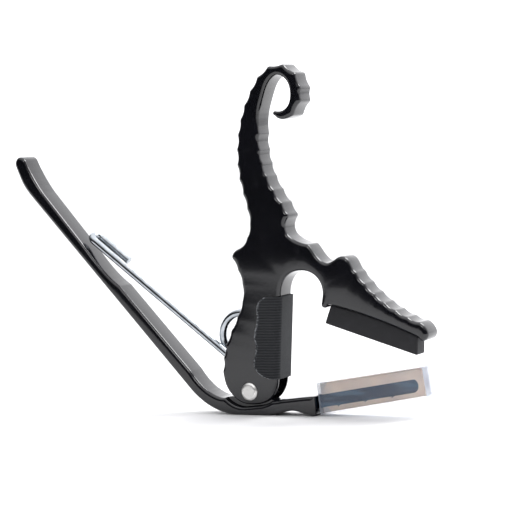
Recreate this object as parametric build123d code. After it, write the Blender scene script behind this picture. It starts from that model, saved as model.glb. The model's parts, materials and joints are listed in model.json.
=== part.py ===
from build123d import *
import math
import os

# Spring capo for a narrow flat fingerboard. Millimetres, +Z up, front face towards -Y.
# Everything is drawn about the pivot rivet: its axis is the Y axis while modelling.
# The whole set is moved at the end, so that the origin is under the middle of the part.

# Castings
PLATE = 10.2            # width of both castings along Y
EDGE_ROUND = 0.6        # rounding along the outlines of both castings
CREST_ROUND = 1.3       # rounding on top of each finger rib
SEAT_ROUND = 0.4        # inner corners at both ends of the pad's seat
SLOT = 6.5              # width of the slot between the two cheeks
LUG = 6.3               # width of the lever's lug in that slot
LUG_RADIUS = 6.6        # lug around the rivet
SLOT_SILL = 5.5         # the slot is open to the right below this height over the rivet

# Pivot rivet
SHANK = 4.76            # 3/16 inch shank
HEAD_BASE = 6.5
HEAD_TOP = 4.9
HEAD_HEIGHT = 0.8
RIVET_HOLE = 4.88
PIVOT_FIT = 0.05        # clearance between the shank and the lever's bore

# Torsion spring
WIRE = 2.9
COIL_X, COIL_Z = -4.2, 19.6
COIL_RADIUS = 8.7       # to the middle of the wire
COIL_PITCH = 3.0
COIL_TURN = 398         # degrees from the long arm to the fixed leg
ARM_Y = -1.65           # the long arm leaves the coil at its front end
ARM_ANGLE = 232.0       # where it leaves, seen from the front, counted from +X towards +Z
ARM_LENGTH = 69.7       # straight part of the long arm
HAIRPIN_RADIUS = 2.3
HAIRPIN_TILT = 13       # degrees that the return leg is turned up, away from the lever
RETURN_LEG = 14.3
FIXED_LEG = 13.3        # runs to the right along the bottom of the coil
FIXED_LEG_Y = ARM_Y + COIL_PITCH * COIL_TURN / 360
LEG_REACH = 14.0        # how far the fixed leg's notch goes to the right of the coil's axis
COIL_ROOM = 0.5         # room around the coil in the slot
LEG_ROOM = 0.15         # room around the fixed leg in its notch

# Soft parts
PAD_WIDTH = 6.5
PAD_ROUND = 0.5
GLUE_MARGIN = 0.2       # the pad's glue stops short of its sides
GLUE = 0.2
TAPE = 0.7
TONGUE_WIDTH = 4.8
BOOT_WIDTH = 9.0
BOOT_ROUND = 0.9
BOOT_FIT = 0.05
WINDOW_HEIGHT = 3.4     # window in the end of the boot, in line with the tongue

REACH = 60              # longer than any cut has to be


def outline(edges):
    """Closed flat face from edges drawn in the front view, x and z as the two coordinates."""
    return make_face(edges)


def ribs(crests, sag):
    """Hollow arcs from crest to crest, each dipping to the right of the direction of travel."""
    arcs = []
    for start, end in zip(crests, crests[1:]):
        start, end = Vector(*start), Vector(*end)
        run = end - start
        dip = Vector(run.Y, -run.X).normalized() * sag
        arcs.append(ThreePointArc(start, (start + end) / 2 + dip, end))
    return arcs


def corners(face, points, radius):
    """Round the corners of a face that lie on the given points."""
    marks = [Vector(*point) for point in points]
    chosen = [v for v in face.vertices() if any((Vector(v) - mark).length < 0.05 for mark in marks)]
    return fillet(chosen, radius)


def plate(face, width=PLATE):
    """Stand a front-view face up and give it its width, half to each side of Y = 0."""
    return extrude(Plane.XZ * face, amount=width / 2, both=True)


def rounded(solid, radius):
    """Round the outline of a plate on its front and its back face."""
    faces = solid.faces().sort_by(Axis.Y)
    return fillet(faces[0].edges() + faces[-1].edges(), radius)


SEAT_TIP, SEAT_ROOT = (67.4, 20.0), (32.9, 31.7)


def jaw_seat():
    """Bowed underside of the jaw arm, from the tip to the root."""
    return ThreePointArc(SEAT_TIP, (49.5, 27.1), SEAT_ROOT)


def ear_arc():
    """Lower outline of the cheeks, from the right side round under the rivet to the left side."""
    return [(11.6, 4.8), (11.2, 2.3), (10.1, -0.3), (8.0, -2.8), (5.0, -4.3), (0.7, -4.85),
            (-4.3, -4.0), (-7.4, -1.7), (-9.6, 1.2), (-10.6, 4.2), (-11.1, 7.3)]


def body_outline():
    """Body casting: curled handle on top, jaw arm to the right, cheeks at the foot."""
    curl_inner = [(16.0, 101.1), (18.4, 101.1), (20.6, 102.6), (22.0, 106.8), (20.6, 112.0),
                  (17.4, 113.9), (14.2, 112.2), (11.3, 106.8), (9.3, 100.8), (8.9, 93.1)]
    handle_right = [(8.9, 93.1), (9.0, 87.5), (9.7, 82.7), (11.2, 77.9), (13.6, 73.0),
                    (16.7, 68.3), (19.4, 63.6)]
    notch = [(19.4, 63.6), (17.9, 61.6), (17.4, 59.4), (18.0, 57.3), (20.0, 55.4), (23.2, 53.9), (26.3, 53.2)]
    shoulder = [(26.3, 53.2), (28.2, 50.6), (30.6, 47.7), (33.3, 46.5), (36.0, 47.5), (38.4, 48.75),
                (40.5, 48.5), (42.2, 46.7), (43.3, 44.4), (44.7, 43.0)]
    jaw_ribs = [(44.7, 43.0), (47.8, 39.1), (51.2, 35.6), (55.1, 32.3), (59.2, 29.6),
                (63.6, 27.2), (68.0, 25.4)]
    jaw_tip = [(68.0, 25.4), (70.5, 23.1), (71.1, 20.7), (69.6, 18.8), SEAT_TIP]
    lip_end = (30.4, 31.9)
    arch = [lip_end, (30.9, 34.6), (30.9, 37.3), (29.4, 40.8), (26.2, 43.2), (21.9, 43.8),
            (18.6, 42.9), (16.4, 41.2), (15.2, 39.2), (14.5, 37.0), (14.2, 34.5)]
    cheek_ribs = [(-11.1, 7.3), (-10.6, 12.3), (-9.3, 17.2), (-6.8, 22.3), (-3.9, 27.6), (-1.6, 32.9),
                  (-1.2, 39.0), (-2.7, 44.1), (-4.9, 48.6)]
    ear = [(-4.9, 48.6), (-4.5, 50.2), (-3.2, 51.5), (-1.2, 52.4), (0.2, 53.4), (1.6, 55.9)]
    handle_left = [(1.6, 55.9), (3.1, 60.8), (2.3, 66.3), (0.9, 71.6), (-0.3, 77.1), (-0.8, 82.4),
                   (-0.7, 88.0), (0.0, 93.4), (1.3, 98.7), (3.2, 103.8), (5.9, 108.9), (9.1, 113.7),
                   (13.7, 117.4), (19.8, 117.9), (24.7, 114.3), (26.5, 109.0), (26.4, 104.2), (23.0, 99.3)]
    curl_end = [(23.0, 99.3), (20.4, 98.3), (18.2, 98.1), (16.6, 98.7), (15.7, 99.6)]

    edges = [Spline(*curl_inner)]
    edges += ribs(handle_right, 0.6)
    edges += [Spline(*notch), Spline(*shoulder)]
    edges += ribs(jaw_ribs, 0.5)
    edges += [Spline(*jaw_tip), jaw_seat()]
    edges += [ThreePointArc(SEAT_ROOT, (31.6, 30.4), lip_end), Spline(*arch)]
    edges += [Line(arch[-1], ear_arc()[0]), Spline(*ear_arc())]
    edges += ribs(cheek_ribs, 0.5) + [Spline(*ear)]
    edges += ribs(handle_left, 0.55)
    edges += [Spline(*curl_end), ThreePointArc(curl_end[-1], (15.05, 100.6), curl_inner[0])]
    rib_tops = handle_right + [shoulder[0]] + jaw_ribs + cheek_ribs + handle_left
    face = corners(outline(edges), rib_tops, CREST_ROUND)
    return corners(face, [SEAT_TIP, SEAT_ROOT], SEAT_ROUND)


def slot_outline():
    """Room between the cheeks: round the coil, open to the left, and open all round the lug."""
    room = COIL_RADIUS + WIRE / 2 + COIL_ROOM
    around_coil = Pos(COIL_X, COIL_Z) * Circle(room)
    left_of_coil = Pos(COIL_X - REACH / 2, COIL_Z) * Rectangle(REACH, 2 * room)
    below_coil = Pos(COIL_X + room - REACH / 2, COIL_Z - REACH / 2) * Rectangle(REACH, REACH)
    around_lug = Pos(0, SLOT_SILL - REACH / 2) * Rectangle(2 * REACH, REACH)
    return around_coil + left_of_coil + below_coil + around_lug


def leg_pocket():
    """Notch in the wall at the right of the slot, where the fixed leg of the spring bears."""
    size = WIRE + 2 * LEG_ROOM
    centre = Pos(COIL_X, FIXED_LEG_Y, COIL_Z - COIL_RADIUS)
    return centre * Box(LEG_REACH, size, size, align=(Align.MIN, Align.CENTER, Align.CENTER))


def make_body():
    solid = rounded(plate(body_outline()), EDGE_ROUND)
    solid -= plate(slot_outline(), SLOT)
    solid -= leg_pocket()
    return solid - pin(RIVET_HOLE / 2, 2 * PLATE)


def pin(radius, length, at_y=0):
    """Cylinder along Y on the pivot axis, centred on at_y."""
    return Pos(0, at_y, 0) * Rotation(90, 0, 0) * Cylinder(radius, length)


def seat_outline():
    """Room that the cheeks need over the whole opening, drawn as the lever sees it."""
    floor = [(8.6, -3.4), (5.4, -4.75), (0.9, -5.35), (-2.8, -5.75), (-6.2, -5.15), (-8.6, -3.9),
             (-10.9, -1.9)]
    sides = Polyline(floor[-1], (-16, 2), (-16, 12), (12, 12), (12, -3.0), floor[0])
    return outline([Spline(*floor), sides])


def lever_outline():
    """Lever casting: thumb handle to the upper left, belly under the rivet, shoulder to the right."""
    tip = [(-91.9, 87.1), (-93.0, 88.1), (-94.9, 88.3), (-96.3, 86.5), (-95.4, 82.8),
           (-93.5, 78.4), (-91.2, 74.9), (-89.6, 73.0)]
    shin = [(-24.7, 0.2), (-19.6, -4.2), (-12.7, -7.6), (-6.0, -8.6)]
    arch_under = [(6.0, -8.6), (11.0, -8.0), (17.5, -6.9), (21.5, -8.0), (24.4, -8.65), (26.2, -8.4)]
    seat = [(26.0, -1.4), (17.6, -2.2), (9.5, -2.9), (4.0, -2.6), (-2.0, -2.2), (-8.0, -2.0),
            (-11.6, -2.5), (-14.8, -1.6), (-18.0, 0.2), (-24.4, 7.1)]
    scoop = [(-53.0, 38.8), (-58.5, 43.4), (-64.0, 49.6), (-69.0, 55.8)]
    thumb = [(-84.8, 74.7), (-88.5, 80.3), (-91.9, 87.1)]
    edges = [Spline(*tip), Line(tip[-1], shin[0]), Spline(*shin), Line(shin[-1], arch_under[0])]
    edges += [Spline(*arch_under), Line(arch_under[-1], seat[0]), Spline(*seat), Line(seat[-1], scoop[0])]
    edges += [Spline(*scoop), Line(scoop[-1], thumb[0]), Spline(*thumb)]
    return outline(edges)


def along(start, end, share):
    """Point part of the way from start to end, both in the front view."""
    return tuple(a + share * (b - a) for a, b in zip(start, end))


def tongue_outline():
    """Tongue that carries the boot, with three small barbs on its lower edge."""
    root_low, root_high = (25.0, -6.3), (25.0, -1.25)
    tip_low, tip_high = (64.2, 0.1), (64.2, 5.2)
    edges = [Line(root_high, tip_high), ThreePointArc(tip_high, (65.9, 2.7), tip_low)]
    heel = tip_low
    for share in (0.2, 0.47, 0.74):
        foot = along(tip_low, root_low, share)
        point = along(tip_low, root_low, share + 0.03)
        point = (point[0], point[1] - 0.7)
        back = along(tip_low, root_low, share + 0.033)
        edges += [Line(heel, foot), Line(foot, point), Line(point, back)]
        heel = back
    return outline(edges + [Line(heel, root_low), Line(root_low, root_high)])


def make_lever():
    solid = rounded(plate(lever_outline()), EDGE_ROUND)
    cheeks = plate(seat_outline(), 2 * PLATE) - plate(seat_outline(), LUG)
    solid -= cheeks
    solid += pin(LUG_RADIUS, LUG)
    solid += plate(tongue_outline(), TONGUE_WIDTH)
    return solid - pin(SHANK / 2 + PIVOT_FIT, 2 * PLATE)


def make_rivet():
    solid = pin(SHANK / 2, PLATE)
    for side in (-1, 1):
        head = Cone(HEAD_BASE / 2, HEAD_TOP / 2, HEAD_HEIGHT, align=(Align.CENTER, Align.CENTER, Align.MIN))
        solid += Pos(0, side * PLATE / 2, 0) * Rotation(-90 * side, 0, 0) * head
    return solid


def coil_point(angle, y):
    """Point on the middle of the coil's wire, angle in degrees from +X towards +Z."""
    turn = math.radians(angle)
    return Vector(COIL_X + COIL_RADIUS * math.cos(turn), y, COIL_Z + COIL_RADIUS * math.sin(turn))


def wire_along(path):
    """Round wire swept along a path."""
    return sweep(Plane(origin=path @ 0, z_dir=path % 0) * Circle(WIRE / 2), path=path)


def make_coil():
    """A little over one turn from the long arm, then the fixed leg into its notch."""
    climb = COIL_PITCH * COIL_TURN / 360
    helix = Helix(COIL_PITCH, climb, COIL_RADIUS, lefthand=True)
    start = Plane(origin=(COIL_X, ARM_Y, COIL_Z), x_dir=(1, 0, 0), z_dir=(0, 1, 0))
    helix = start * Rotation(0, 0, -ARM_ANGLE) * helix
    solid = wire_along(helix)
    leg = Line(helix @ 1, helix @ 1 + Vector(FIXED_LEG, 0, 0))
    return solid + wire_along(leg)


def make_arm():
    """Long arm of the spring, its hairpin across the lever and the short return leg."""
    start = coil_point(ARM_ANGLE, ARM_Y)
    turn = math.radians(ARM_ANGLE)
    along_arm = Vector(math.sin(turn), 0, -math.cos(turn))
    off_lever = Vector(-math.cos(turn), 0, -math.sin(turn))
    tilt = math.radians(HAIRPIN_TILT)
    across = Vector(0, 1, 0) * math.cos(tilt) + off_lever * math.sin(tilt)
    bend = start + along_arm * ARM_LENGTH
    middle = bend + (across + along_arm) * HAIRPIN_RADIUS
    back = bend + across * (2 * HAIRPIN_RADIUS)
    hairpin = ThreePointArc(bend, middle, back)
    path = Wire([Line(start, bend), hairpin, Line(back, back - along_arm * RETURN_LEG)])
    return wire_along(path)


def pad_seat():
    """Stretch of the jaw arm's bowed seat that the string pad covers, from the tip to the root."""
    return jaw_seat().trim(0.02, 0.98)


def glue_face():
    """Top of the pad: the same bow, a glue film lower, square to the middle of the seat."""
    drop = Vector(-0.35, -1).normalized() * GLUE
    return Pos(drop.X, drop.Y) * pad_seat()


def make_pad():
    top = glue_face()
    left, right = top @ 1, top @ 0
    face = outline([top, Polyline(left, (30.9, 24.8), (66.2, 13.5), right)])
    solid = plate(face, PAD_WIDTH)
    return fillet(solid.edges().filter_by(Axis.Y), PAD_ROUND)


def make_pad_glue():
    top, low = pad_seat(), glue_face()
    face = outline([top, Line(top @ 1, low @ 1), low, Line(low @ 0, top @ 0)])
    return plate(face, PAD_WIDTH - 2 * GLUE_MARGIN)


def boot_outline():
    return outline([Polyline((26.4, 3.5), (68.0, 9.8), (69.4, -1.3), (27.6, -8.4), (26.4, 3.5))])


def make_boot():
    """Clear sleeve: a closed hull with the tongue's cavity and a window in its end."""
    solid = plate(boot_outline(), BOOT_WIDTH)
    solid = fillet(solid.edges(), BOOT_ROUND)
    cavity = plate(offset(tongue_outline(), BOOT_FIT), TONGUE_WIDTH + 2 * BOOT_FIT)
    window = Pos(67.0, 0, 3.6) * Rotation(0, -9, 0) * Box(8, TONGUE_WIDTH, WINDOW_HEIGHT)
    return solid - cavity - window


def tape_outline():
    """Flat of the tape on the front face, with its scalloped free edge."""
    low = [(16.0, 4.8), (11.0, 4.7), (6.4, 5.5), (4.4, 6.8), (2.6, 9.9)]
    scallops = [(2.6, 9.9), (3.6, 13.6), (4.0, 16.5), (3.4, 19.9), (4.6, 24.5), (5.1, 27.2), (4.9, 29.9)]
    high = [(4.9, 29.9), (5.9, 32.6), (8.8, 34.4), (12.0, 34.6), (16.5, 34.4)]
    return outline([Spline(*low), Spline(*scallops), Spline(*high), Line(high[-1], low[0])])


def body_edge_slab(grow):
    """The straight right edge of the body, grown by the same amount on all sides."""
    top, foot = (14.2, 34.5), (11.6, 4.8)
    sideways = Vector(foot[1] - top[1], top[0] - foot[0]).normalized() * -grow
    top, foot = along(foot, top, 1.2), along(top, foot, 1.2)
    edge = [(top[0] + sideways.X, top[1] + sideways.Y), (foot[0] + sideways.X, foot[1] + sideways.Y)]
    face = outline([Polyline(edge[0], edge[1], (-8, edge[1][1]), (-8, edge[0][1]), edge[0])])
    solid = plate(face, PLATE + 2 * grow)
    straight = solid.edges().filter_by(GeomType.LINE)
    outer = straight.filter_by(lambda e: (e @ 0.5).X > 5 and abs((e % 0.5).Z) > 0.9)
    return fillet(outer, EDGE_ROUND + grow)


def make_tape():
    band = body_edge_slab(GLUE + TAPE) - body_edge_slab(GLUE)
    return band & plate(tape_outline(), 3 * PLATE)


def make_tape_glue():
    band = body_edge_slab(GLUE) - body_edge_slab(0)
    return band & plate(tape_outline(), 3 * PLATE)


def main():
    nodes = {
        "body": make_body(),
        "lever": make_lever(),
        "pivot_rivet": make_rivet(),
        "spring_coil": make_coil(),
        "spring_arm": make_arm(),
        "string_pad": make_pad(),
        "pad_adhesive": make_pad_glue(),
        "neck_boot": make_boot(),
        "grip_tape": make_tape(),
        "tape_adhesive": make_tape_glue(),
    }
    box = Compound(children=[Compound(shape.solids()) for shape in nodes.values()]).bounding_box()
    home = Location((-(box.min.X + box.max.X) / 2, -(box.min.Y + box.max.Y) / 2, -box.min.Z))
    os.makedirs("parts", exist_ok=True)
    for name, shape in nodes.items():
        solids = shape.solids()
        print(name, len(solids), [round(solid.volume, 1) for solid in solids])
        export_step(home * (solids[0] if len(solids) == 1 else Compound(solids)), f"parts/{name}.step")
    print("pivot", home.position, "size", box.size)


main()
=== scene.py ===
import json
import math

import bmesh
import bpy
import numpy as np
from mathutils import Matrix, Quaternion, Vector


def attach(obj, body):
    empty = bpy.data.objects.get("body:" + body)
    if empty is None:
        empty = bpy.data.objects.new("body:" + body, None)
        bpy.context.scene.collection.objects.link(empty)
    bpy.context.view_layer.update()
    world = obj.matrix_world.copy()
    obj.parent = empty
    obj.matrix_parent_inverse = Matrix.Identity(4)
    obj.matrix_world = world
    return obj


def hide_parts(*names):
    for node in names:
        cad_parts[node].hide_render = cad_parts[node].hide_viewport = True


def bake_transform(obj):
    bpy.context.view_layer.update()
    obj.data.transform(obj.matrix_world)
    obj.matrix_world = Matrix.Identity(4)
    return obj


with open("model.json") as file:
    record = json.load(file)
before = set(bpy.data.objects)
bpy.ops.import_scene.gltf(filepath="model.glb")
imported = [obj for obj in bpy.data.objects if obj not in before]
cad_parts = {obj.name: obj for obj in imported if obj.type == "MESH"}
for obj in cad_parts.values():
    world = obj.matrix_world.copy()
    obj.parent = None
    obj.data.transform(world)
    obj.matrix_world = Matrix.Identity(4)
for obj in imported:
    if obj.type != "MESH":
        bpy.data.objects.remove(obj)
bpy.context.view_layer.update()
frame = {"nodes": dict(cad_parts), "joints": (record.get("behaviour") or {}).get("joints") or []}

MM = 0.001
joints = {joint["name"]: joint for joint in frame["joints"]}
pivot = np.array(joints["lever_pivot"]["pos_m"]) / MM      # axis of the rivet, in mm
coil = np.array(joints["spring_arm_turn"]["pos_m"]) / MM   # axis of the spring's coil, in mm


# --- View ------------------------------------------------------------------
# The capo stands on its lever and is seen from the front and a little from the
# right, with a long lens. The camera leans a few degrees, as if held by hand.
AIM = Vector((pivot[0] + 2.885, 0, pivot[2] + 49.010)) * MM
DISTANCE = 0.7913
AZIMUTH, ELEVATION, LEAN = (math.radians(angle) for angle in (27.81, 4.03, -2.97))

camera = bpy.data.objects.new("camera", bpy.data.cameras.new("camera"))
camera.data.lens = 153.25
camera.data.sensor_width = 36
camera.data.clip_start = 0.01
sight = Vector((
    -math.sin(AZIMUTH) * math.cos(ELEVATION),
    math.cos(AZIMUTH) * math.cos(ELEVATION),
    -math.sin(ELEVATION),
))
camera.location = AIM - sight * DISTANCE
camera.rotation_mode = "QUATERNION"
camera.rotation_quaternion = sight.to_track_quat("-Z", "Y") @ Quaternion((0, 0, 1), LEAN)
bpy.context.scene.collection.objects.link(camera)
bpy.context.scene.camera = camera


# --- Body casting ----------------------------------------------------------
# One aluminium casting: curled handle with finger ribs, jaw arm, and two cheeks
# that straddle the lever. Gloss black powder coat over softly rounded edges.
HALF_WIDTH = 5.1
EDGE_RADIUS = 1.55       # where the casting is thick enough for it
THIN_SHARE = 0.43        # largest radius as a share of the thickness there
ROUND_STEPS = 7
OUTLINE_STEP = 0.35
SLOT_HALF = 3.25
SLOT_ROOM = 10.65        # radius of the room for the coil
SLOT_SILL = 5.5          # below this height over the pivot the slot is open to the right
NOTCH_Y, NOTCH_DROP = 1.66, 8.7      # middle of the notch for the spring's fixed leg
NOTCH_HALF, NOTCH_REACH = 1.6, 14.0
COAT_BLACK = (0.0035, 0.0037, 0.0055, 1)


class Value:
    """A socket of a finish's node tree. Python operators on it add Math nodes."""

    def __init__(self, finish, socket):
        self.finish, self.socket = finish, socket

    def calc(self, operation, *values):
        return self.finish.node("ShaderNodeMath", {"operation": operation}, dict(enumerate(values)))

    def __add__(self, other): return self.calc("ADD", self, other)
    def __radd__(self, other): return self.calc("ADD", other, self)
    def __sub__(self, other): return self.calc("SUBTRACT", self, other)
    def __rsub__(self, other): return self.calc("SUBTRACT", other, self)
    def __mul__(self, other): return self.calc("MULTIPLY", self, other)
    def __rmul__(self, other): return self.calc("MULTIPLY", other, self)
    def __truediv__(self, other): return self.calc("DIVIDE", self, other)
    def __rtruediv__(self, other): return self.calc("DIVIDE", other, self)
    def __pow__(self, other): return self.calc("POWER", self, other)
    def __rpow__(self, other): return self.calc("POWER", other, self)
    def __neg__(self): return self.calc("MULTIPLY", self, -1.0)


class Finish:
    """A material: one Principled shader, and one method that adds any other node."""

    def __init__(self, name, **fixed):
        self.material = bpy.data.materials.new(name)
        self.material.use_nodes = True
        self.tree = self.material.node_tree
        self.shader = self.tree.nodes["Principled BSDF"]
        for socket, value in fixed.items():
            self.shader.inputs[socket.replace("_", " ")].default_value = value
        self.place = self.node("ShaderNodeTexCoord", out="Object")

    def node(self, kind, settings=None, inputs=None, out=0):
        made = self.tree.nodes.new(kind)
        for key, value in (settings or {}).items():
            if key == "stops":
                self.set_stops(made.color_ramp, value)
            else:
                setattr(made, key, value)
        for key, value in (inputs or {}).items():
            if isinstance(value, Value):
                self.tree.links.new(value.socket, made.inputs[key])
            else:
                made.inputs[key].default_value = value
        return Value(self, made.outputs[out])

    def set_stops(self, ramp, stops):
        while len(ramp.elements) < len(stops):
            ramp.elements.new(1.0)
        for element, (position, colour) in zip(ramp.elements, stops):
            element.position, element.color = position, colour

    def noise(self, scale, detail=2.0, place=None, rough=0.5):
        return self.node("ShaderNodeTexNoise", None, {
            "Vector": place or self.place, "Scale": scale, "Detail": detail, "Roughness": rough}, "Fac")

    def band(self, value, low, high, to_low=0.0, to_high=1.0):
        """Value stretched smoothly from low..high to to_low..to_high."""
        return self.node("ShaderNodeMapRange", {"interpolation_type": "SMOOTHSTEP"}, {
            "Value": value, "From Min": low, "From Max": high, "To Min": to_low, "To Max": to_high}, "Result")

    def mix(self, share, first, second):
        """Colour between first and second."""
        return self.node("ShaderNodeMix", {"data_type": "RGBA"}, {0: share, 6: first, 7: second}, 2)

    def stretch(self, x, y, z):
        """Coordinates scaled along the three axes."""
        return self.node("ShaderNodeVectorMath", {"operation": "MULTIPLY"}, {0: self.place, 1: (x, y, z)})

    def part(self, name):
        """One coordinate, in metres."""
        return self.node("ShaderNodeSeparateXYZ", None, {0: self.place}, name)

    def attribute(self, name):
        return self.node("ShaderNodeAttribute", {"attribute_name": name}, None, "Fac")

    def relief(self, height, depth):
        """Normal from a height field, depth in metres."""
        return self.node("ShaderNodeBump", None, {"Height": height, "Distance": depth, "Strength": 1.0})

    def link(self, **sockets):
        for socket, value in sockets.items():
            self.tree.links.new(value.socket, self.shader.inputs[socket.replace("_", " ")])
        return self.material


def add_piece(name, points, faces, finish, body, slot=None, smooth_angle=35):
    """Mesh object from points in mm, riding on a CAD body."""
    mesh = bpy.data.meshes.new(name)
    mesh.from_pydata([tuple(float(c) * MM for c in point) for point in points], [], faces)
    mesh.validate()
    piece = bpy.data.objects.new(name, mesh)
    bpy.context.scene.collection.objects.link(piece)
    return dress(piece, finish, body, smooth_angle)


def dress(piece, finish, body, smooth_angle=35):
    """Give a mesh its finish and its body, with sharp edges only where it turns sharply."""
    mesh = piece.data
    face_out(mesh)
    mesh.shade_smooth()
    mesh.set_sharp_from_angle(angle=math.radians(smooth_angle))
    mesh.materials.clear()
    mesh.materials.append(finish)
    if body:
        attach(piece, body)
    return piece


def face_out(mesh):
    """Turn all faces outwards."""
    work = bmesh.new()
    work.from_mesh(mesh)
    bmesh.ops.remove_doubles(work, verts=work.verts, dist=1e-7)
    bmesh.ops.recalc_face_normals(work, faces=work.faces)
    work.to_mesh(mesh)
    work.free()


def section_loops(node, y):
    """Closed outlines where a CAD node is cut by the plane Y = y mm, longest first, as x, z points in mm."""
    work = bmesh.new()
    work.from_mesh(frame["nodes"][node].data)
    bmesh.ops.remove_doubles(work, verts=work.verts, dist=2e-6)
    cut = bmesh.ops.bisect_plane(
        work, geom=work.verts[:] + work.edges[:] + work.faces[:], dist=1e-8,
        plane_co=(0, y * MM, 0), plane_no=(0, 1, 0), clear_inner=True, clear_outer=True)
    near = {}
    for edge in cut["geom_cut"]:
        if isinstance(edge, bmesh.types.BMEdge):
            for here, there in (edge.verts, reversed(edge.verts)):
                near.setdefault(here, []).append(there)
    loops, seen = [], set()
    for start in near:
        loop, here = [], start
        while here is not None and here not in seen:
            seen.add(here)
            loop.append((here.co.x / MM, here.co.z / MM))
            here = next((point for point in near[here] if point not in seen), None)
        if len(loop) > 2:
            loops.append(counterclockwise(np.array(loop)))
    work.free()
    return sorted(loops, key=loop_length, reverse=True)


def loop_length(points):
    return float(np.linalg.norm(np.roll(points, -1, 0) - points, axis=1).sum())


def counterclockwise(points):
    x, z = points[:, 0], points[:, 1]
    area = (x * np.roll(z, -1) - np.roll(x, -1) * z).sum()
    return points if area > 0 else points[::-1]


def even_loop(points, step):
    """The same closed outline with evenly spaced points."""
    closed = np.vstack([points, points[:1]])
    run = np.concatenate([[0], np.cumsum(np.linalg.norm(np.diff(closed, axis=0), axis=1))])
    count = max(int(run[-1] / step), 24)
    at = np.linspace(0, run[-1], count, endpoint=False)
    return np.stack([np.interp(at, run, closed[:, k]) for k in (0, 1)], 1)


def soften(values, width):
    """Blur values round a closed outline; width is in points."""
    if width < 0.3:
        return values
    reach = int(3 * width) + 1
    offsets = np.arange(-reach, reach + 1)
    weights = np.exp(-0.5 * (offsets / width) ** 2)
    weights /= weights.sum()
    return sum(w * np.roll(values, -k, axis=0) for k, w in zip(offsets, weights))


def inward(points):
    """Unit normals that point into a counterclockwise outline."""
    along = np.roll(points, -1, 0) - np.roll(points, 1, 0)
    along /= np.linalg.norm(along, axis=1, keepdims=True)
    return np.stack([-along[:, 1], along[:, 0]], 1)


def local_thickness(points, normals):
    """How thick the plate is at each point of its outline, measured straight across."""
    count = len(points)
    thickness = np.full(count, 99.0)
    for i in range(count):
        away = points - points[i]
        ahead = away @ normals[i]
        aside = np.abs(away @ np.array([-normals[i][1], normals[i][0]]))
        facing = (ahead > 0.8) & (aside < 0.6 + 0.25 * ahead) & (normals @ normals[i] < -0.3)
        if facing.any():
            thickness[i] = ahead[facing].min()
    return thickness


def rounded_plate(loop, half, radius, step=OUTLINE_STEP, blur=0.7):
    """Plate between y = -half and half with rounded edges: points and faces in mm."""
    points = even_loop(loop, step)
    normals = inward(soften(points, 1.0))
    radii = np.minimum(radius, THIN_SHARE * local_thickness(points, normals))
    radii = soften(radii, 2.0 / step)
    rings = []
    for k in range(ROUND_STEPS + 1):
        turn = math.pi / 2 * k / ROUND_STEPS
        inset = radii * (1 - math.cos(turn))
        rise = half - radii * (1 - math.sin(turn))
        base = soften(points, blur / step * k / ROUND_STEPS)
        drawn = base + inward(base) * inset[:, None]
        rings.append(np.stack([drawn[:, 0], rise, drawn[:, 1]], 1))
    count = len(points)
    stack = [ring * (1, -1, 1) for ring in rings[::-1]] + rings
    vertices = np.vstack(stack)
    faces = []
    for level in range(len(stack) - 1):
        for i in range(count):
            j = (i + 1) % count
            low, high = level * count, (level + 1) * count
            faces.append((low + i, low + j, high + j, high + i))
    return vertices, faces, count


def plate_mesh(name, loop, half, radius, step=OUTLINE_STEP, blur=0.7):
    """Closed mesh of a rounded plate, its two flats filled with triangles."""
    vertices, faces, count = rounded_plate(loop, half, radius, step, blur)
    mesh = bpy.data.meshes.new(name)
    mesh.from_pydata((vertices * MM).tolist(), [], faces)
    work = bmesh.new()
    work.from_mesh(mesh)
    work.verts.ensure_lookup_table()
    total = len(work.verts)
    for first in (0, total - count):
        ring = [work.verts[first + i] for i in range(count)]
        edges = [work.edges.get((ring[i], ring[(i + 1) % count])) for i in range(count)]
        bmesh.ops.triangle_fill(work, use_beauty=True, use_dissolve=False, edges=edges)
    bmesh.ops.recalc_face_normals(work, faces=work.faces)
    work.to_mesh(mesh)
    work.free()
    piece = bpy.data.objects.new(name, mesh)
    bpy.context.scene.collection.objects.link(piece)
    return piece


def prism(name, polygon, low, high):
    """Straight prism of an x, z polygon between two y values, all in mm from the pivot."""
    count = len(polygon)
    points = [(x + pivot[0], y, z + pivot[2]) for y in (low, high) for x, z in polygon]
    faces = [tuple(range(count))[::-1], tuple(range(count, 2 * count))]
    faces += [(i, (i + 1) % count, (i + 1) % count + count, i + count) for i in range(count)]
    mesh = bpy.data.meshes.new(name)
    mesh.from_pydata([tuple(float(c) * MM for c in point) for point in points], [], faces)
    piece = bpy.data.objects.new(name, mesh)
    bpy.context.scene.collection.objects.link(piece)
    face_out(mesh)
    return piece


def carve(piece, tool, operation="DIFFERENCE"):
    """Cut a tool out of a piece, or join it on, and drop the tool."""
    modifier = piece.modifiers.new("carve", "BOOLEAN")
    modifier.operation, modifier.object, modifier.solver = operation, tool, "EXACT"
    done = bpy.data.meshes.new_from_object(piece.evaluated_get(bpy.context.evaluated_depsgraph_get()))
    piece.modifiers.clear()
    piece.data = done
    bpy.data.objects.remove(tool)
    return piece


def arc(centre, radius, start, end, steps):
    """Points of an arc in the front view, angles in degrees from +X towards +Z."""
    turns = np.radians(np.linspace(start, end, steps))
    return [(centre[0] + radius * math.cos(t), centre[1] + radius * math.sin(t)) for t in turns]


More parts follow.
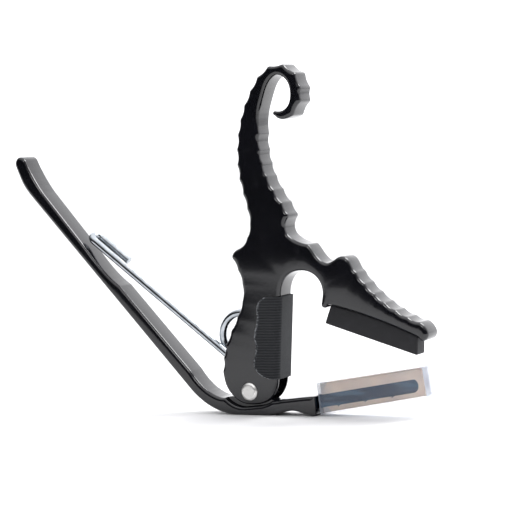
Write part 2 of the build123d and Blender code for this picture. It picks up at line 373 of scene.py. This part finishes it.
def black_coat():
    """Powder coat: near black, with the faint orange peel of a sprayed gloss."""
    coat = Finish("black_coat", IOR=1.5, Coat_Roughness=0.06, Coat_IOR=1.5)
    cloud = coat.noise(55, 3)
    peel = coat.noise(900, 2)
    fine = coat.noise(5200, 1)
    scuff = coat.band(coat.noise(160, 6, rough=0.7), 0.56, 0.72)
    colour = coat.mix(coat.band(cloud, 0.35, 0.7), COAT_BLACK, (0.0050, 0.0052, 0.0078, 1))
    colour = coat.mix(scuff * 0.35, colour, (0.012, 0.012, 0.015, 1))
    gloss = 0.10 + 0.05 * cloud + 0.10 * scuff
    return coat.link(Base_Color=colour, Roughness=gloss, Coat_Weight=0.35 - 0.2 * scuff,
                     Normal=coat.relief(peel + 0.25 * fine, 0.000008))


coat_finish = black_coat()
coil_x, coil_z = coil[0] - pivot[0], coil[2] - pivot[2]
room_right = coil_x + SLOT_ROOM
body = plate_mesh("body_casting", section_loops("body", 4.0)[0], HALF_WIDTH, EDGE_RADIUS)
slot_shape = [(60, -30), (60, SLOT_SILL), (room_right, SLOT_SILL)]
slot_shape += arc((coil_x, coil_z), SLOT_ROOM, 0, 90, 24) + [(-60, coil_z + SLOT_ROOM), (-60, -30)]
carve(body, prism("slot_tool", slot_shape, -SLOT_HALF, SLOT_HALF))
notch = [(coil_x + x, coil_z - NOTCH_DROP + z) for x, z in
         ((0, -NOTCH_HALF), (NOTCH_REACH, -NOTCH_HALF), (NOTCH_REACH, NOTCH_HALF), (0, NOTCH_HALF))]
carve(body, prism("notch_tool", notch, NOTCH_Y - NOTCH_HALF, NOTCH_Y + NOTCH_HALF))
dress(body, coat_finish, "frame")
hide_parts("body")


# --- Lever casting ---------------------------------------------------------
# The other casting, same coat: thumb handle, belly, a lug between the cheeks
# that turns on the rivet, and a shoulder where the clear boot ends.
LUG_HALF = 3.15
LUG_RADIUS = 6.6

lever = plate_mesh("lever_casting", section_loops("lever", 4.0)[0], HALF_WIDTH, 1.35)
lug_shape = arc((0, 0), LUG_RADIUS, -25, 205, 48)
lug_shape += [(-8.0, -2.0), (-11.0, -2.45), (-11.6, -3.2), (-10.5, -5.6), (0, -7.2), (9.0, -5.2), (9.6, -3.4)]
carve(lever, prism("lug_tool", lug_shape, -LUG_HALF, LUG_HALF), "UNION")
dress(lever, coat_finish, "thumb_lever")
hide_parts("lever")

# --- Tongue ----------------------------------------------------------------
# The end of the lever that the boot is pushed over. It is coated too, and looks
# blue through the clear sleeve. It is cut from the lever's own mid-plane outline.
TONGUE_HALF = 2.4
TONGUE_ROOT = 26.3


def tongue_blue():
    """Coated metal as the sleeve tints it, with long streaks where the two touch."""
    coat = Finish("tongue_coat", IOR=1.5, Coat_Roughness=0.1)
    streak = coat.noise(26, 3, coat.stretch(3, 40, 26))
    colour = coat.mix(coat.band(streak, 0.4, 0.62), (0.006, 0.036, 0.088, 1), (0.040, 0.105, 0.185, 1))
    return coat.link(Base_Color=colour, Roughness=0.3 + 0.2 * streak,
                     Normal=coat.relief(coat.noise(700, 2), 0.00002))


core = even_loop(section_loops("lever", 0.05)[0], 0.12)
tongue_loop = core[core[:, 0] > TONGUE_ROOT + pivot[0]]
tongue_finish = tongue_blue()
tongue = plate_mesh("lever_tongue", tongue_loop, TONGUE_HALF, 0.5, 0.25, 0.2)
dress(tongue, tongue_finish, "thumb_lever")
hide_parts("lever")


# --- Pivot rivet -----------------------------------------------------------
# Nickel-plated steel rivet through both cheeks and the lug. The front head is a
# low flat-topped button, the back one is the same after it is pressed over.
def bright_rivet():
    """Plated steel, turned: fine rings round the axis and a few handling marks."""
    steel = Finish("rivet_nickel", Metallic=1.0)
    x, z = steel.part("X") - float(pivot[0]) * MM, steel.part("Z") - float(pivot[2]) * MM
    radius = (x * x + z * z) ** 0.5
    rings = steel.node("ShaderNodeMath", {"operation": "SINE"}, {0: radius * 52000})
    marks = steel.band(steel.noise(900, 5, rough=0.7), 0.55, 0.75)
    colour = steel.mix(marks, (0.83, 0.82, 0.80, 1), (0.60, 0.58, 0.56, 1))
    return steel.link(Base_Color=colour, Roughness=0.38 + 0.14 * marks,
                      Normal=steel.relief(rings * 0.3 + marks, 0.000006))


def lathe(profile, steps, at):
    """Turn (radius, y) points about the Y axis through at: points and faces in mm."""
    points, faces = [], []
    for radius, y in profile:
        for k in range(steps):
            turn = 2 * math.pi * k / steps
            points.append((at[0] + radius * math.cos(turn), y, at[2] + radius * math.sin(turn)))
    for ring in range(len(profile) - 1):
        for k in range(steps):
            n = (k + 1) % steps
            faces.append((ring * steps + k, ring * steps + n, (ring + 1) * steps + n, (ring + 1) * steps + k))
    faces.append(tuple(range(steps)))
    faces.append(tuple(range((len(profile) - 1) * steps, len(profile) * steps)))
    return points, faces


top, foot = -HALF_WIDTH - 0.79, -HALF_WIDTH + 0.02
head = [(2.15, top - 0.005), (2.36, top), (2.48, top + 0.05), (2.68, top + 0.17), (2.94, top + 0.35),
        (3.13, top + 0.54), (3.23, top + 0.70), (3.25, foot)]
shank = [(2.38, foot + 0.03)]
profile = head + shank + [(r, -y) for r, y in reversed(head + shank)]
turned = lathe(profile, 72, pivot)
rivet = add_piece("pivot_rivet_turned", *turned, bright_rivet(), "frame", "rivet_steel", 25)
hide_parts("pivot_rivet")


# --- Torsion spring --------------------------------------------------------
# One piece of bright spring wire: a turn and a bit between the cheeks, and a long
# arm to a hairpin just above the lever's scoop.
WIRE = 1.45              # radius
COIL_RADIUS = 8.7
COIL_PITCH = 3.0
ARM_Y = -1.65
ARM_ANGLE = 232.0
COIL_TURN = 630 - ARM_ANGLE     # the fixed leg leaves straight below the coil's axis
ARM_LENGTH = 69.7
HAIRPIN_RADIUS = 2.3
HAIRPIN_TILT = 13
RETURN_LEG = 14.3
FIXED_LEG = 13.3
WIRE_CHAMFER = 0.22


def bright_wire():
    """Plated wire with fine pits and a slightly uneven plating."""
    wire = Finish("bright_wire", Metallic=1.0, Base_Color=(0.86, 0.87, 0.89, 1))
    mottle = wire.noise(420, 4)
    pits = wire.band(wire.noise(2600, 2), 0.62, 0.75)
    colour = wire.mix(wire.band(mottle, 0.35, 0.7), (0.50, 0.53, 0.56, 1), (0.36, 0.39, 0.42, 1))
    return wire.link(Base_Color=colour, Roughness=0.12 + 0.10 * mottle,
                     Normal=wire.relief(mottle * 0.6 - pits, 0.000010))


def tube(path, radius, bevels, sides=28):
    """Round wire along a path: points and faces in mm. Each end is chamfered by its own bevel."""
    path = np.array(path, float)
    along = np.gradient(path, axis=0)
    along /= np.linalg.norm(along, axis=1, keepdims=True)
    side = np.cross(along[0], (0.3, 1, 0.2))
    turns = np.linspace(0, 2 * math.pi, sides, endpoint=False)
    spokes = []
    for direction in along:
        side = side - direction * (side @ direction)
        side /= np.linalg.norm(side)
        spokes.append(np.outer(np.cos(turns), side) + np.outer(np.sin(turns), np.cross(direction, side)))
    rings = [centre + radius * spoke for centre, spoke in zip(path, spokes)]
    if bevels[0]:
        rings.insert(0, path[0] - along[0] * bevels[0] / 2 + (radius - bevels[0]) * spokes[0])
    if bevels[1]:
        rings.append(path[-1] + along[-1] * bevels[1] / 2 + (radius - bevels[1]) * spokes[-1])
    points = np.vstack(rings)
    faces = []
    for level in range(len(rings) - 1):
        for k in range(sides):
            n = (k + 1) % sides
            low, high = level * sides, (level + 1) * sides
            faces.append((low + k, low + n, high + n, high + k))
    faces += [tuple(range(sides)), tuple(range(len(points) - sides, len(points)))]
    return points, faces


def coil_point(angle, y):
    turn = math.radians(angle)
    return np.array([coil[0] + COIL_RADIUS * math.cos(turn), y, coil[2] + COIL_RADIUS * math.sin(turn)])


wire_finish = bright_wire()
turns = np.linspace(0, COIL_TURN, 160)
coil_path = [coil_point(ARM_ANGLE + turn, ARM_Y + COIL_PITCH * turn / 360) for turn in turns]
leg_path = [coil_path[-1] + np.array([FIXED_LEG, 0, 0]) * share for share in np.linspace(0, 1, 20)]
spring_coil = add_piece("spring_coil_wire", *tube(coil_path, WIRE, (0, 0)), wire_finish, None, None, 50)
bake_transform(spring_coil)
leg_tube = tube(leg_path, WIRE, (0, WIRE_CHAMFER))
fixed_leg = add_piece("spring_fixed_leg", *leg_tube, wire_finish, "frame", "spring_wire", 50)
for piece in (spring_coil, fixed_leg):
    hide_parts("spring_coil")

turn = math.radians(ARM_ANGLE)
along_arm = np.array([math.sin(turn), 0, -math.cos(turn)])
off_lever = np.array([-math.cos(turn), 0, -math.sin(turn)])
tilt = math.radians(HAIRPIN_TILT)
across = np.array([0, 1, 0]) * math.cos(tilt) + off_lever * math.sin(tilt)
arm_start = coil_point(ARM_ANGLE, ARM_Y)
bend_start = arm_start + along_arm * ARM_LENGTH
arm_path = [arm_start + along_arm * ARM_LENGTH * share for share in np.linspace(0, 1, 60)]
for share in np.linspace(0, 1, 28)[1:]:
    sweep = math.pi * share
    round_bend = across * (1 - math.cos(sweep)) + along_arm * math.sin(sweep)
    arm_path.append(bend_start + HAIRPIN_RADIUS * round_bend)
arm_path += [arm_path[-1] - along_arm * RETURN_LEG * share for share in np.linspace(0.04, 1, 18)]
arm_tube = tube(arm_path, WIRE, (0, WIRE_CHAMFER))
spring_arm = add_piece("spring_arm_wire", *arm_tube, wire_finish, "spring_arm", "spring_wire", 50)
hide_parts("spring_arm")


# --- String pad ------------------------------------------------------------
# Straight black rubber strip glued under the jaw arm. Moulded, matte, with
# softened edges and a thin grey line of glue along its upper edge.
def pad_rubber():
    """Matte black rubber with a fine moulded grain."""
    rubber = Finish("pad_rubber", IOR=1.45)
    grain = rubber.noise(2600, 3)
    dust = rubber.band(rubber.noise(220, 5, rough=0.65), 0.5, 0.75)
    colour = rubber.mix(dust, (0.0125, 0.0125, 0.015, 1), (0.026, 0.026, 0.030, 1))
    return rubber.link(Base_Color=colour, Roughness=0.62 + 0.18 * dust,
                       Normal=rubber.relief(grain, 0.00003))


pad = plate_mesh("string_pad_rubber", section_loops("string_pad", 0.0)[0], 3.25, 0.45, 0.3, 0.2)
dress(pad, pad_rubber(), "frame")
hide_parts("string_pad")


def glue_line():
    """Dull dark glue film."""
    glue = Finish("glue_film", IOR=1.4)
    lumps = glue.noise(1500, 3)
    colour = glue.mix(lumps, (0.02, 0.02, 0.022, 1), (0.045, 0.043, 0.042, 1))
    return glue.link(Base_Color=colour, Roughness=0.45 + 0.3 * lumps, Normal=glue.relief(lumps, 0.00004))


glue_finish = glue_line()
for node in ("pad_adhesive", "tape_adhesive"):
    film = frame["nodes"][node]
    film.data.materials.clear()
    film.data.materials.append(glue_finish)


# --- Neck boot -------------------------------------------------------------
# Clear soft vinyl sleeve pushed over the tongue. The solid core round the tongue
# looks warm, the clear hull over it cool at its edges. Its end has a window.
BOOT_HALF = 4.5
CORE_HALF = 2.3          # the tongue stands just proud of the core
CORE_INSET = 0.55
CUFF_LENGTH = 3.6
CUFF_FADE = 0.6
RIM_WIDTH, RIM_FADE = 0.9, 0.5
WINDOW_AT = (66.2, 3.45)                 # its middle, from the pivot
WINDOW_DEPTH, WINDOW_PAST = 2.2, 6.0     # into the core, and out past its end
WINDOW_RISE, WINDOW_HALF = 1.7, 1.9
BOOT_ANGLE = math.radians(8.6)
BOOT_START = (26.4, 3.5)


def boot_run(points):
    """How far along the boot each point is, from the end nearer the pivot, in mm."""
    x, z = points[:, 0] - pivot[0] - BOOT_START[0], points[:, 2] - pivot[2] - BOOT_START[1]
    return x * math.cos(BOOT_ANGLE) + z * math.sin(BOOT_ANGLE)


def mark(piece, name, values):
    """Store one number for each point of a piece, for its material."""
    layer = piece.data.attributes.new(name, "FLOAT", "POINT")
    layer.data.foreach_set("value", np.array(values, np.float32))


def points_of(piece):
    points = np.zeros(len(piece.data.vertices) * 3, np.float32)
    piece.data.vertices.foreach_get("co", points)
    return points.reshape(-1, 3) / MM


def warm_core():
    """Solid vinyl as seen through the hull: peach, a little greyer at the cuff."""
    vinyl = Finish("vinyl_core", IOR=1.45, Subsurface_Weight=0.15, Subsurface_Scale=0.002)
    cloud = vinyl.noise(120, 3)
    colour = vinyl.mix(vinyl.band(cloud, 0.35, 0.7), (0.78, 0.66, 0.58, 1), (0.70, 0.60, 0.55, 1))
    colour = vinyl.mix(vinyl.attribute("cuff"), colour, (0.56, 0.55, 0.56, 1))
    return vinyl.link(Base_Color=colour, Roughness=0.45 + 0.2 * cloud, Normal=vinyl.relief(cloud, 0.00005))


def clear_hull():
    """Clear vinyl skin, milky and bluish along its edges."""
    vinyl = Finish("clear_vinyl", IOR=1.45)
    cloud = vinyl.noise(90, 3)
    rim = vinyl.attribute("rim")
    colour = vinyl.mix(rim, (0.70, 0.66, 0.64, 1), (0.42, 0.48, 0.58, 1))
    return vinyl.link(Base_Color=colour, Alpha=0.10 + 0.52 * rim + 0.05 * cloud,
                      Roughness=0.10 + 0.12 * cloud, Normal=vinyl.relief(vinyl.noise(300, 2), 0.00004))


window = [(WINDOW_AT[0] + x * math.cos(BOOT_ANGLE), WINDOW_AT[1] + x * math.sin(BOOT_ANGLE) + z)
          for x, z in ((-WINDOW_DEPTH, -WINDOW_RISE), (WINDOW_PAST, -WINDOW_RISE),
                       (WINDOW_PAST, WINDOW_RISE), (-WINDOW_DEPTH, WINDOW_RISE))]
boot_loop = section_loops("neck_boot", 4.0)[0]
inner = even_loop(boot_loop, 0.3)
core_outline = inner + inward(soften(inner, 1.0)) * CORE_INSET
core_block = plate_mesh("neck_boot_core", core_outline, CORE_HALF, 0.5, 0.35, 0.3)
carve(core_block, prism("window_tool", window, -WINDOW_HALF, WINDOW_HALF))
hull = plate_mesh("neck_boot_hull", boot_loop, BOOT_HALF, RIM_WIDTH, 0.35, 0.3)
dress(core_block, warm_core(), "thumb_lever")
dress(hull, clear_hull(), "thumb_lever")
mark(core_block, "cuff", np.clip((CUFF_LENGTH - boot_run(points_of(core_block))) / CUFF_FADE, 0, 1))
mark(hull, "rim", 1 - np.clip((np.abs(points_of(hull)[:, 1]) - BOOT_HALF + RIM_WIDTH) / RIM_FADE, 0, 1))
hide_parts("neck_boot")
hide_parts("neck_boot")


# --- Grip tape -------------------------------------------------------------
# Black woven tape wrapped round the straight edge of the body, from the front face
# over the side to the back. Ribbed, with a scalloped, slightly frayed free edge.
TAPE_OUT = 0.88          # outer face over the casting
TAPE_CORNER = 2.1
EDGE_TOP, EDGE_FOOT = (14.2, 34.5), (11.6, 4.8)
FREE_EDGE = [(11.0, 4.74), (8.9, 4.82), (6.4, 5.5), (4.4, 6.8), (3.0, 8.6), (2.6, 9.9), (2.9, 11.6),
             (3.6, 13.6), (4.0, 16.5), (3.7, 18.6), (3.4, 19.9), (3.9, 22.2), (4.6, 24.5), (5.1, 27.2),
             (4.9, 29.5), (5.2, 31.3), (5.9, 32.6), (7.2, 33.8), (8.8, 34.4), (11.5, 34.58)]
RIB_PITCH = 0.98
RIB_DEPTH = 0.13
SIDE_PITCH_SHARE = 0.62  # the ribs on the side are closer and run aslant
SIDE_SLANT = 0.32
FRAY_WIDTH = 0.9
TAPE_THICKNESS = 0.7
TAPE_ROWS, FLAT_STEPS, CORNER_STEPS, SIDE_STEPS = 330, 46, 9, 40


def woven_tape():
    """Black ribbed weave with painted shade: darker in the grooves between the ribs, lighter on their crests;
    paler thread ends along the free edge.
    """
    tape = Finish("woven_tape", IOR=1.4, Roughness=0.85, Sheen_Weight=0.12, Sheen_Roughness=0.5)
    fray = tape.attribute("fray")
    rib = tape.attribute("rib")
    thread = tape.noise(5200, 2)
    patch = tape.noise(300, 3)
    # painted shade: the rib height darkens the weave in the grooves and lightens it on the crests
    colour = tape.mix(rib * 0.7 + thread * 0.3, (0.006, 0.007, 0.008, 1), (0.034, 0.036, 0.041, 1))
    colour = tape.mix(fray * tape.band(tape.noise(2600, 2), 0.45, 0.6), colour, (0.30, 0.31, 0.33, 1))
    return tape.link(Base_Color=colour, Roughness=0.80 + 0.15 * patch,
                     Normal=tape.relief(thread + 0.5 * patch, 0.00010))


def tape_rows():
    """Outer face of the tape as a grid: rows up the edge, columns round it from front to back."""
    low, high = FREE_EDGE[0][1], FREE_EDGE[-1][1]
    edge_z = np.array([z for _, z in FREE_EDGE])
    edge_x = np.array([x for x, _ in FREE_EDGE])
    front = HALF_WIDTH + TAPE_OUT
    grid, fray, rib = [], [], []
    for z in np.linspace(low, high, TAPE_ROWS):
        left = np.interp(z, edge_z, edge_x)
        right = np.interp(z, (EDGE_FOOT[1], EDGE_TOP[1]), (EDGE_FOOT[0], EDGE_TOP[0])) + TAPE_OUT
        flat = np.linspace(0, 1, FLAT_STEPS)
        run = [(left + (right - TAPE_CORNER - left) * s, -front) for s in flat]
        run += [(right - TAPE_CORNER + TAPE_CORNER * math.sin(t), -front + TAPE_CORNER * (1 - math.cos(t)))
                for t in np.linspace(0, math.pi / 2, CORNER_STEPS)[1:]]
        run += [(right, y) for y in np.linspace(-front + TAPE_CORNER, front - TAPE_CORNER, SIDE_STEPS)[1:]]
        back = [(x, -y) for x, y in run[:FLAT_STEPS + CORNER_STEPS - 1]][::-1]
        run += back[1:]
        ripple = 0.5 + 0.5 * math.cos(2 * math.pi * z / RIB_PITCH)
        for x, y in run:
            over_side = x > right - 0.01
            aslant = 0.5 + 0.5 * math.cos(2 * math.pi * (z - SIDE_SLANT * y) / (RIB_PITCH * SIDE_PITCH_SHARE))
            tone = aslant if over_side else ripple
            depth = RIB_DEPTH * (1 - tone)
            inner_x = x - depth if over_side else x
            inner_y = y if over_side else y - math.copysign(depth, y)
            grid.append((inner_x, inner_y, z))
            # the rib height is also kept for the painted shade of the grooves
            rib.append(tone)
            fray.append(0.0 if over_side else max(0.0, 1 - (x - left) / FRAY_WIDTH))
    return grid, fray, rib


grid, fray, rib = tape_rows()
columns = len(grid) // TAPE_ROWS
quads = [(r * columns + c, r * columns + c + 1, (r + 1) * columns + c + 1, (r + 1) * columns + c)
         for r in range(TAPE_ROWS - 1) for c in range(columns - 1)]
tape = add_piece("grip_tape_weave", [(x + pivot[0], y, z + pivot[2]) for x, y, z in grid], quads,
                 woven_tape(), "frame", "woven_tape", 60)
mark(tape, "fray", fray)
mark(tape, "rib", rib)
thick = tape.modifiers.new("thick", "SOLIDIFY")
thick.thickness, thick.offset = TAPE_THICKNESS * MM, -1
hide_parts("grip_tape")


# --- Floor and light -------------------------------------------------------
# Pale floor and a white studio behind and above it. The room on the camera's side
# is dark, so the front faces stay black and the sides of the castings shine.
FLOOR_FRONT, FLOOR_BACK, FLOOR_SIDE = -0.42, 3.0, 3.0
ROOM_DARK, ROOM_WHITE = 0.035, 1.7


def pale_floor():
    floor = Finish("pale_floor", Roughness=0.55)
    tint = floor.mix(floor.noise(3, 2), (0.92, 0.92, 0.925, 1), (0.95, 0.95, 0.95, 1))
    return floor.link(Base_Color=tint, Normal=floor.relief(floor.noise(60, 3), 0.0001))


floor_mesh = bpy.data.meshes.new("studio_floor")
floor_mesh.from_pydata(
    [(-FLOOR_SIDE, FLOOR_FRONT, 0), (FLOOR_SIDE, FLOOR_FRONT, 0),
     (FLOOR_SIDE, FLOOR_BACK, 0), (-FLOOR_SIDE, FLOOR_BACK, 0)],
    [], [(0, 1, 2, 3)])
floor_mesh.materials.append(pale_floor())
floor = bpy.data.objects.new("studio_floor", floor_mesh)
bpy.context.scene.collection.objects.link(floor)


def soft_box(name, place, aim, size, power):
    light = bpy.data.lights.new(name, "AREA")
    light.shape, light.size, light.size_y, light.energy = "RECTANGLE", size[0], size[1], power
    lamp = bpy.data.objects.new(name, light)
    lamp.location = place
    lamp.rotation_mode = "QUATERNION"
    lamp.rotation_quaternion = (Vector(aim) - Vector(place)).to_track_quat("-Z", "Y")
    bpy.context.scene.collection.objects.link(lamp)


soft_box("top_light", (0.30, 0.30, 0.60), (0, 0.0, 0), (0.30, 0.30), 3.2)
soft_box("front_light", (0.55, -0.75, 0.9), (0, 0, 0.05), (0.25, 0.25), 1.2)


def studio_room():
    """Bright towards the back and straight up, dark on the camera's side."""
    world = bpy.data.worlds.new("studio_room")
    world.use_nodes = True
    tree = world.node_tree
    tree.nodes.clear()

    def add(kind, **inputs):
        made = tree.nodes.new(kind)
        for key, value in inputs.items():
            socket = made.inputs[int(key[1:])]
            if isinstance(value, bpy.types.NodeSocket):
                tree.links.new(value, socket)
            else:
                socket.default_value = value
        return made

    way = add("ShaderNodeSeparateXYZ", s0=add("ShaderNodeTexCoord").outputs["Generated"])
    back = add("ShaderNodeMapRange", s0=way.outputs["Y"], s1=-0.15, s2=0.35, s3=0.0, s4=1.0)
    up = add("ShaderNodeMapRange", s0=way.outputs["Z"], s1=0.45, s2=0.95, s3=0.0, s4=1.0)
    white = add("ShaderNodeMath", s0=back.outputs[0], s1=up.outputs[0])
    white.operation = "MAXIMUM"
    power = add("ShaderNodeMapRange", s0=white.outputs[0], s1=0.0, s2=1.0, s3=ROOM_DARK, s4=ROOM_WHITE)
    room = add("ShaderNodeBackground", s0=(1.0, 1.0, 1.02, 1), s1=power.outputs[0])
    tree.links.new(room.outputs[0], add("ShaderNodeOutputWorld").inputs[0])
    return world


bpy.context.scene.world = studio_room()
bpy.context.scene.view_settings.view_transform = "Standard"
